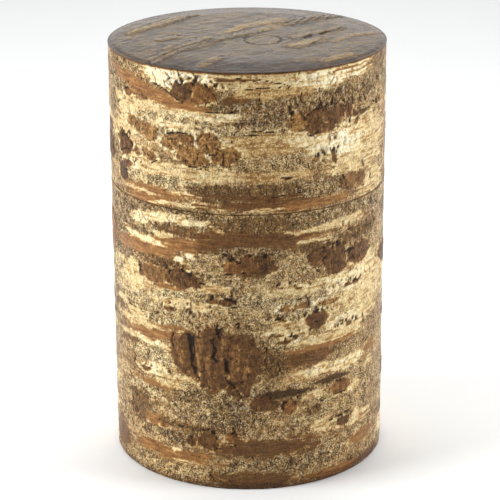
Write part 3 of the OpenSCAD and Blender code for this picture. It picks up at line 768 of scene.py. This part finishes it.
class Tree:
    """Short calls for building the nodes of a new material or world."""

    def __init__(self, owner):
        owner.use_nodes = True
        self.owner = owner
        self.nodes, self.links = owner.node_tree.nodes, owner.node_tree.links

    def put(self, value, socket):
        if isinstance(value, Value):
            self.links.new(value.socket, socket)
        else:
            socket.default_value = value

    def node(self, kind, inputs, output=0, **settings):
        """Adds a node with what goes into its inputs, and returns one of its outputs."""
        node = self.nodes.new(kind)
        for key, value in settings.items():
            setattr(node, key, value)
        for key, value in inputs.items():
            self.put(value, node.inputs[key])
        return Value(self, node.outputs[output])

    def parts(self, kind, value):
        """The outputs of a node that takes a value apart."""
        node = self.node(kind, {0: value}).socket.node
        return [Value(self, socket) for socket in node.outputs]

    def fields(self, attribute):
        """The three fields of a colour attribute."""
        colour = self.node("ShaderNodeAttribute", {}, "Color", attribute_name=attribute)
        return self.parts("ShaderNodeSeparateColor", colour)

    def math(self, operation, *values):
        return self.node("ShaderNodeMath", dict(enumerate(values)), operation=operation)

    def most(self, first, *others):
        """The largest of several values."""
        for value in others:
            first = self.math("MAXIMUM", first, value)
        return first

    def step(self, value, low, high):
        """0 below low, 1 above high, and a soft step between. low may be above high."""
        inputs = {"Value": value, "From Min": low, "From Max": high}
        return self.node("ShaderNodeMapRange", inputs, interpolation_type="SMOOTHSTEP")

    def coords_mm(self, stretch=(1, 1, 1)):
        """Object coordinates in mm, stretched along each axis."""
        place = self.node("ShaderNodeTexCoord", {}, "Object")
        inputs = {0: place, 1: [s / MM for s in stretch]}
        return self.node("ShaderNodeVectorMath", inputs, operation="MULTIPLY")

    def noise(self, coords, scale, detail=2.0, roughness=0.5, distortion=0.0):
        return self.node("ShaderNodeTexNoise", {
            "Vector": coords, "Scale": scale, "Detail": detail, "Roughness": roughness,
            "Distortion": distortion,
        })

    def lines(self, coords, *settings):
        """How far a noise is from its middle, which is little along winding lines."""
        return abs(self.noise(coords, *settings) - 0.5)

    def warp(self, coords, scale, amount):
        """Coordinates pushed about by up to half of amount."""
        push = self.node("ShaderNodeTexNoise", {"Vector": coords, "Scale": scale}, "Color")
        inputs = {0: push, 1: (amount, amount, amount), 2: coords}
        return self.node("ShaderNodeVectorMath", inputs, operation="MULTIPLY_ADD")

    def edges(self, coords, scale):
        """Distance to the nearest border between cells."""
        inputs = {"Vector": coords, "Scale": scale}
        return self.node("ShaderNodeTexVoronoi", inputs, "Distance", feature="DISTANCE_TO_EDGE")

    def ramp(self, value, stops):
        colour = self.node("ShaderNodeValToRGB", {0: value})
        elements = colour.socket.node.color_ramp.elements
        while len(elements) < len(stops):
            elements.new(0.5)
        for element, (position, shade) in zip(elements, stops):
            element.position = position
            element.color = srgb(*shade)
        return colour

    def mix(self, share, under, over):
        """The colour under, with share of the sRGB colour over on top."""
        over = over if isinstance(over, Value) else srgb(*over)
        return self.node("ShaderNodeMix", {0: share, 6: under, 7: over}, 2, data_type="RGBA")

    def bump(self, height, distance, strength):
        inputs = {"Strength": strength, "Distance": distance * MM, "Height": height}
        return self.node("ShaderNodeBump", inputs)

    def finish(self, colour, roughness, normal=None, **plain):
        sockets = self.nodes["Principled BSDF"].inputs
        self.put(colour, sockets["Base Color"])
        self.put(roughness, sockets["Roughness"])
        if normal is not None:
            self.put(normal, sockets["Normal"])
        for key, value in plain.items():
            sockets[key.replace("_", " ")].default_value = value
        return self.owner


def rough_bark_material():
    """The frosted outer bark: pale cork, dark specks, upright wrinkles, level fibres and cracks."""
    t = Tree(bpy.data.materials.new("frosted bark"))
    tone, rust, dark = t.fields("bark_tone")
    fleck, grain, streak = t.fields("bark_grain")
    craze, inside, eyed = t.fields("bark_knot")
    place = t.coords_mm()
    upright = t.coords_mm((1, 1, 0.4))

    def patchy(scale, low, high):
        """1 in soft-edged patches, and 0 between them."""
        return t.step(t.noise(place, scale, 2), low, high)

    # the ground: cork or under-bark, roughened by four noises
    uneven = rust * -0.7 + 1
    gritty = uneven * (t.step(fleck, 0.1, 0.7) * 0.8 + 0.6)
    wrinkle = t.noise(upright, 1.6, 3, 0.6, 0.6)
    fibre = t.noise(t.coords_mm((0.2, 0.2, 1.5)), 1.3, 3, 0.65, 0.3)
    mottle = t.noise(place, 1.0, 4, 0.7)
    sand = t.noise(place, 2.4, 3, 0.8)
    layers = (wrinkle, grain * 0.9), (fibre, streak * 0.8), (mottle, uneven * 0.6), (sand, gritty)
    for layer, share in layers:
        tone = tone + (layer - 0.5) * share
    warm = ((t.noise(place, 0.6, 2) - 0.5) * 0.8 + rust).clamped()
    colour = t.mix(warm, t.ramp(tone, GREYS), t.ramp(tone, RUSTS))
    golds = t.step(t.noise(place, 0.75, 3, 0.6, 0.8), 0.51, 0.57) * eyed
    colour = t.mix(golds * 0.70, colour, (196, 152, 88))

    # dark specks with singed halos, dark strokes, and pale grains and islands between them
    swirl = t.warp(place, 0.45, 3.4)
    specks = t.noise(swirl, 2.3, 3, 0.65, 0.5)
    limit = fleck * -0.085 + 0.645
    speck = t.step(specks, limit, limit + 0.04)
    halo = t.step(specks, limit - 0.07, limit)
    bends = t.lines(swirl, 1.0, 3, 0.55, 0.3)
    strokes = t.step(bends, 0.030, 0.012) * patchy(0.8, 0.47, 0.55) * t.step(fleck, 0.2, 0.8)
    islands = t.step(bends, 0.07, 0.15) * t.step(fleck, 0.3, 0.8)
    grains = t.noise(t.coords_mm((1, 1, 1.2)), 2.1, 2, 0.7, 0.5)
    pale = t.step(grains, 0.56, 0.64) * t.step(tone, 0.40, 0.62)
    pale = t.most(pale, islands * 0.6) * t.step(rust, 0.7, 0.3)

    # short dark wiggles, with warmth beside them
    ridge = t.lines(t.coords_mm((1, 1, 0.6)), 1.25, 2, 0.5, 1.4)
    where = patchy(0.5, 0.48, 0.54) * t.step(t.most(grain, fleck), 0.10, 0.6)
    wiggle = t.step(ridge, 0.042, 0.020) * where
    warmth = t.step(ridge, 0.13, 0.05) * (where * 0.6 + 0.25)

    # nets of cracks: fine ones in pale cork, upright ones in weathered bark, and splits inside knots
    bent = t.warp(place, 0.9, 1.3)
    gaps = t.edges(bent, 0.36)
    crazed = t.step(craze, 0.25, 0.75) * patchy(0.28, 0.47, 0.56) * patchy(0.9, 0.44, 0.52)
    crackle = t.step(gaps, 0.05, 0.01) * crazed
    singed = t.most(t.step(gaps, 0.15, 0.04) * crazed * 0.5, halo * 0.45)
    fissure = t.step(t.lines(t.coords_mm((1, 1, 0.32)), 0.95, 3, 0.55, 0.5), 0.028, 0.012)
    fissure = fissure * patchy(0.45, 0.46, 0.54) * t.step(grain, 0.45, 0.85)
    net = t.step(t.edges(upright, 0.55), 0.07, 0.0) * patchy(0.3, 0.5, 0.62) * t.step(grain, 0.2, 0.9)
    split = t.step(t.edges(bent, 0.40), 0.08, 0.02) * (eyed * 0.6 + inside * 0.4) * patchy(0.7, 0.48, 0.54)
    net = t.most(net, fissure, split)

    for share, over in (
        (warmth * 0.40, (166, 112, 54)), (pale * 0.70, (254, 240, 200)), (singed, (150, 104, 52)),
        (speck * 0.88, (44, 33, 18)), (wiggle * 0.90, (40, 27, 14)), (crackle * 0.85, (92, 58, 26)),
        (net * 0.90, (34, 22, 12)), (t.step(dark, 0.10, 0.55) * 0.75, (104, 68, 34)),
        (t.step(dark, 0.40, 0.85) * 0.94, (28, 19, 11)), (strokes * 0.92, (40, 27, 13)),
    ):
        colour = t.mix(share, colour, over)
    marks = t.most(speck, strokes, wiggle, net)
    relief = wrinkle * grain * 1.4 + fibre * streak * 0.9 + mottle * 0.9 + sand * uneven * 0.6 - marks * 0.9
    roughness = (t.most(dark, marks) * 0.25 + 0.33).clamped()
    return t.finish(colour, roughness, t.bump(relief, 0.17, 0.9), Specular_IOR_Level=0.18)


def polished_bark_material():
    """The glossy disc on the lid, which reads what was placed on its mesh."""
    t = Tree(bpy.data.materials.new("polished bark disc"))
    tone, ochre, dark = t.fields("disc_tone")
    place = t.coords_mm()
    along = t.node("ShaderNodeMapping", {
        "Vector": place, "Rotation": (0, 0, math.radians(-49)), "Scale": (0.25, 1.3, 1),
    })
    grain = t.noise(along, 1.5, 3, 0.6, 0.4)
    mottle = t.noise(place, 1.1, 4, 0.7)
    tone = (tone + (grain - 0.5) * 0.30 + (mottle - 0.5) * 0.6).clamped()
    colour = t.mix(ochre, t.ramp(tone, DISC_BROWNS), t.ramp(tone, DISC_OCHRES))
    dark = t.most(dark, t.step(t.noise(place, 1.9, 3, 0.6), 0.62, 0.68) * 0.55)
    colour = t.mix(dark * 0.9, colour, (20, 12, 8))
    normal = t.bump(dark * -0.5 + mottle * 0.5 + grain, 0.10, 0.9)
    roughness = t.step(tone, 0.2, 0.6) * 0.16 + dark * 0.12 + 0.14
    coat = {"Coat_Weight": 0.1, "Coat_Roughness": 0.06}
    return t.finish(colour, roughness, normal, Specular_IOR_Level=0.42, **coat)


def smooth_bark_material(name, stretch, darker=0.0):
    """Burnished cherry bark: red-brown, with pale lenticels and silky streaks that run along one way."""
    t = Tree(bpy.data.materials.new(name))
    along = t.coords_mm(stretch)
    streak = t.noise(along, 1.1, 4, 0.6, 0.2)
    cloud = t.noise(t.coords_mm(), 0.09, 3, 0.5)
    colour = t.ramp(((cloud - 0.5) * 0.8 + streak).clamped(), SMOOTH_REDS)
    dashes = t.noise(along, 0.55, 3, 0.55, 0.3)
    dash = t.step(dashes, 0.60, 0.65)
    edge = t.step(dashes, 0.57, 0.60) * t.step(dashes, 0.64, 0.60)
    colour = t.mix(dash * 0.75, colour, (178, 136, 88))
    colour = t.mix(edge * 0.5, colour, (34, 17, 12))
    colour = t.mix(darker, colour, (28, 14, 10))
    normal = t.bump(dash * 0.6 + streak * 0.5, 0.08, 0.6)
    return t.finish(colour, dash * 0.22 + 0.26, normal, Coat_Weight=0.35, Coat_Roughness=0.12)


def wood_material(name, stretch, pale, mid, deep, gloss):
    """Plain wood: growth lines along one way, pores and soft cloudy tones. gloss is its least roughness."""
    t = Tree(bpy.data.materials.new(name))
    along = t.coords_mm(stretch)
    growth = t.noise(along, 0.9, 5, 0.65, 0.4)
    pores = t.step(t.noise(along, 2.6, 2, 0.5), 0.60, 0.66)
    cloud = t.noise(t.coords_mm(), 0.12, 2)
    colour = t.ramp(((cloud - 0.5) * 0.6 + growth).clamped(), [(0.3, deep), (0.5, mid), (0.7, pale)])
    colour = t.mix(pores * 0.45, colour, deep)
    return t.finish(colour, growth * 0.25 + gloss, t.bump(pores * -0.6 + growth, 0.06, 0.5))


def floor_material():
    t = Tree(bpy.data.materials.new("pale floor"))
    return t.finish(t.mix(t.noise(t.coords_mm(), 0.02, 2), srgb(239, 240, 240), (243, 244, 244)), 0.7)


# ---- Pieces ----

def bark_wall(name, node, body, material, foot, head, step):
    """The rough bark sheet that stands for a CAD wall. foot and head are the rounds of its edges."""
    low, high = box_mm(node)
    profile = wall_profile(CORE_R, CADDY_R, low.z, high.z, foot, head, step)
    around = int(2 * math.pi * CADDY_R / step)
    obj, f = turned_sheet(name, node, body, material, profile, around,
                          lambda angle, radius, height: bark_fields(angle, height))
    colour_attribute(obj, "bark_tone", [f["tone"], f["rust"], f["dark"]])
    colour_attribute(obj, "bark_grain", [f["fleck"], f["grain"], f["streak"]])
    colour_attribute(obj, "bark_knot", [f["craze"], f["inside"], f["eyed"]])


def top_disc():
    """The polished bark disc: a dense bent grid on top, a rounded edge, and a plain underside."""
    low, high = box_mm("lid_top_bark")
    inner = CADDY_R - CROWN_ROUND
    x, y, index, border = disc_grid(inner, DISC_POINTS)
    top = top_fields(x, y)
    z = high.z + top["relief"]

    # rings from the grid's border round the edge, and on under it
    out_x, out_y, out_z = x[border] / inner, y[border] / inner, z[border]
    edge = top_fields(out_x * CADDY_R, out_y * CADDY_R)
    wander = 0.3 * edge["relief"] + 0.1         # how far the edge strays from a true circle
    foot = low.z + 0.14
    steps = 6
    rings = []
    for k in range(1, steps + 1):
        turn = math.radians(90 * k / steps)
        r = inner + (CROWN_ROUND + wander) * math.sin(turn)
        rings.append((r, foot + (out_z - foot) * math.cos(turn)))
    rings += [(CADDY_R - 0.3 + wander, low.z), (CADDY_R * 0.6, low.z)]

    layers = [np.stack([x, y, z], -1)]
    for r, height in rings:
        layers.append(np.stack(np.broadcast_arrays(out_x * r, out_y * r, height), -1))
    layers.append([[0, 0, low.z]])
    around, centre = len(border), len(x) + len(rings) * len(border)
    loops = [border] + list(np.arange(len(x), centre).reshape(-1, around))
    faces = [grid_faces(index)]
    for upper, lower in zip(loops[:-1], loops[1:]):
        faces.append(np.stack([upper, lower, np.roll(lower, -1), np.roll(upper, -1)], -1))
    faces.append(np.stack([np.full(around, centre), np.roll(loops[-1], -1), loops[-1]], -1))

    obj = mesh_object("lid_top_bark_disc", np.concatenate(layers), faces, polished_bark_material())
    columns = []
    for key in ("tone", "ochre", "dark"):
        columns.append(np.concatenate([top[key]] + [edge[key]] * len(rings) + [[0.3]]))
    colour_attribute(obj, "disc_tone", columns)
    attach(obj, "lid")
    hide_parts("lid_top_bark")


def lenticel_fields(position, stretch, seed):
    """Fine relief of burnished bark: lenticels stand up and everything else lies a little lower."""
    dash = smooth(0.30, 0.55, fbm(position * np.array(stretch) / 1.8, seed, 3))
    return {"relief": -0.07 + 0.06 * dash + 0.008 * fbm(position / 2.5, seed + 1, 2)}


def neck_sheet(material):
    """The smooth bark round the sleeve, which shows as the neck when the lid is off."""
    def fields(angle, radius, height):
        return lenticel_fields(wall_points(angle, radius, height), (0.2, 0.2, 1.5), 60)

    low, high = box_mm("sleeve_bark")
    r_in = box_mm("sleeve_core")[1].x
    profile = wall_profile(r_in, high.x, low.z, high.z, foot=0.1, head=0.1, step=0.8)
    turned_sheet("neck_bark_sheet", "sleeve_bark", "canister", material, profile,
                 around=320, fields=fields)


def inner_lid_sheet(material):
    """The bark on the inner lid, with its worn edge and the hole for the knob's dowel."""
    def fields(angle, radius, height):
        f = lenticel_fields(wall_points(angle, radius, height), (0.2, 1.5, 1.5), 70)
        f["relief"] *= smooth(5.0, 6.0, radius)
        return f

    low, high = box_mm("inner_lid_skin")
    hole = box_mm("knob_dowel")[1].x
    out, edge_round = high.x, 0.4
    edge = corner(out, high.z, edge_round, 0)
    top = run((out - edge_round, high.z), (hole, high.z), 0.55, 0, 1)
    rest = [(hole, high.z, 0, 0), (hole, low.z, 0, 0), (out * 0.5, low.z, 0, 0)]
    profile = np.array([(out, low.z, 0, 0)] + edge + top + rest)
    turned_sheet("inner_lid_bark_disc", "inner_lid_skin", "inner_lid", material, profile,
                 around=340, fields=fields)


rough_bark = rough_bark_material()
bark_wall("body_bark_sheet", "body_bark", "canister", rough_bark, foot=0.7, head=0.25, step=BODY_STEP)
bark_wall("lid_bark_sheet", "lid_bark", "lid", rough_bark, foot=0.25, head=0.3, step=LID_STEP)
top_disc()
wall_bark = smooth_bark_material("burnished bark, upright", (0.2, 0.2, 1.5))
flat_bark = smooth_bark_material("burnished bark, flat", (0.2, 1.5, 1.5))
rim_bark = smooth_bark_material("dark bark edging", (0.35, 0.35, 1.5), 0.45)
neck_sheet(wall_bark)
inner_lid_sheet(flat_bark)

# name, stretch, then the pale, middle and deep colours, and gloss
veneer_wall = wood_material(
    "wound veneer", (0.8, 0.8, 0.08), (222, 192, 148), (200, 166, 120), (168, 132, 90), 0.5)
board_wood = wood_material(
    "board", (0.08, 0.9, 0.9), (216, 184, 138), (190, 154, 108), (154, 116, 76), 0.5)
turned_wood = wood_material(
    "turned cherry", (0.9, 0.25, 0.9), (166, 100, 58), (128, 68, 38), (84, 42, 24), 0.22)
dowel_wood = wood_material(
    "dowel", (1, 1, 0.1), (212, 178, 130), (184, 146, 100), (150, 112, 72), 0.5)

CAD_MATERIALS = {
    wall_bark: ("body_lining", "sleeve_lining", "lid_lining", "inner_lid_band"),
    flat_bark: ("floor_lining", "lid_ceiling", "inner_lid_underside", "base_bark", "knob_cap"),
    rim_bark: ("body_rim_edging", "sleeve_lip", "lid_rim_edging"),
    veneer_wall: ("body_core", "sleeve_core", "lid_core"),
    board_wood: ("base_board", "lid_top_board", "inner_lid_board"),
    turned_wood: ("knob",),
    dowel_wood: ("knob_dowel",),
}
for material, names in CAD_MATERIALS.items():
    for name in names:
        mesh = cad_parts[name].data
        mesh.materials.clear()
        mesh.materials.append(material)


# ---- Stage, light and camera ----

# Brightness of the tent: in front, behind up to the backdrop's height, and behind above it
FRONT_GLOW, BACKDROP_GLOW, TENT_GLOW = 0.04, 1.02, 0.22
BACKDROP_FROM, BACKDROP_TO = 11.2, 18.5     # degrees above the horizon over which the backdrop ends


def stage_floor():
    """A wide pale floor just under the caddy."""
    half, n = 4000, 24
    side = np.linspace(-half, half, n)
    x, y = np.meshgrid(side, side)
    verts = np.stack([x.ravel(), y.ravel(), np.full(n * n, -0.02)], -1)
    obj = mesh_object("floor", verts, [grid_faces(np.arange(n * n).reshape(n, n))], floor_material())


def area_light(name, place, aim, width, height, power):
    """A white soft box at place, in mm, that faces aim."""
    data = bpy.data.lights.new(name, "AREA")
    data.shape = "RECTANGLE"
    data.size = width * MM
    data.size_y = height * MM
    data.energy = power
    light = bpy.data.objects.new(name, data)
    light.location = Vector(place) * MM
    light.rotation_euler = (Vector(aim) - Vector(place)).to_track_quat("-Z", "Y").to_euler()
    bpy.context.scene.collection.objects.link(light)


def studio_world():
    """A white tent round the caddy: bright behind it up to a backdrop's height, dim above and in front."""
    t = Tree(bpy.data.worlds.new("studio"))
    bpy.context.scene.world = t.owner
    _, back, up = t.parts("ShaderNodeSeparateXYZ", t.node("ShaderNodeTexCoord", {}, "Generated"))
    backdrop = t.step(back, -0.1, 0.8) * (BACKDROP_GLOW - FRONT_GLOW) + FRONT_GLOW
    above = t.step(back, -0.4, 0.7) * (TENT_GLOW - FRONT_GLOW) + FRONT_GLOW
    low, high = (math.sin(math.radians(angle)) for angle in (BACKDROP_FROM, BACKDROP_TO))
    sockets = t.nodes["Background"].inputs
    t.put((1, 1, 1, 1), sockets["Color"])
    t.put(backdrop + (above - backdrop) * t.step(up, low, high), sockets["Strength"])


def camera():
    """The studio camera: a long lens, looking a little down."""
    lens, distance, pitch, roll = 147.8, 600.0, 19.4, -0.264
    aim = Vector((0.53, 0, 58.3)) * MM
    down = math.radians(pitch)
    away = Vector((0, -math.cos(down), math.sin(down)))
    data = bpy.data.cameras.new("camera")
    data.lens = lens
    data.sensor_width = 36
    data.clip_start = 0.05
    data.clip_end = 50
    obj = bpy.data.objects.new("camera", data)
    turn = (-away).to_track_quat("-Z", "Y").to_matrix() @ Matrix.Rotation(math.radians(roll), 3, "Z")
    obj.matrix_world = Matrix.Translation(aim + away * distance * MM) @ turn.to_4x4()
    bpy.context.scene.collection.objects.link(obj)
    bpy.context.scene.camera = obj


stage_floor()
studio_world()
area_light("left box", (-560, -165, 330), (0, 0, 60), 320, 420, 4.6)
area_light("right box", (560, -120, 300), (0, 0, 60), 260, 420, 3.0)
area_light("top box", (0, 440, 950), (0, 440, 0), 900, 1100, 8.8)
camera()
bpy.context.scene.view_settings.view_transform = "Standard"
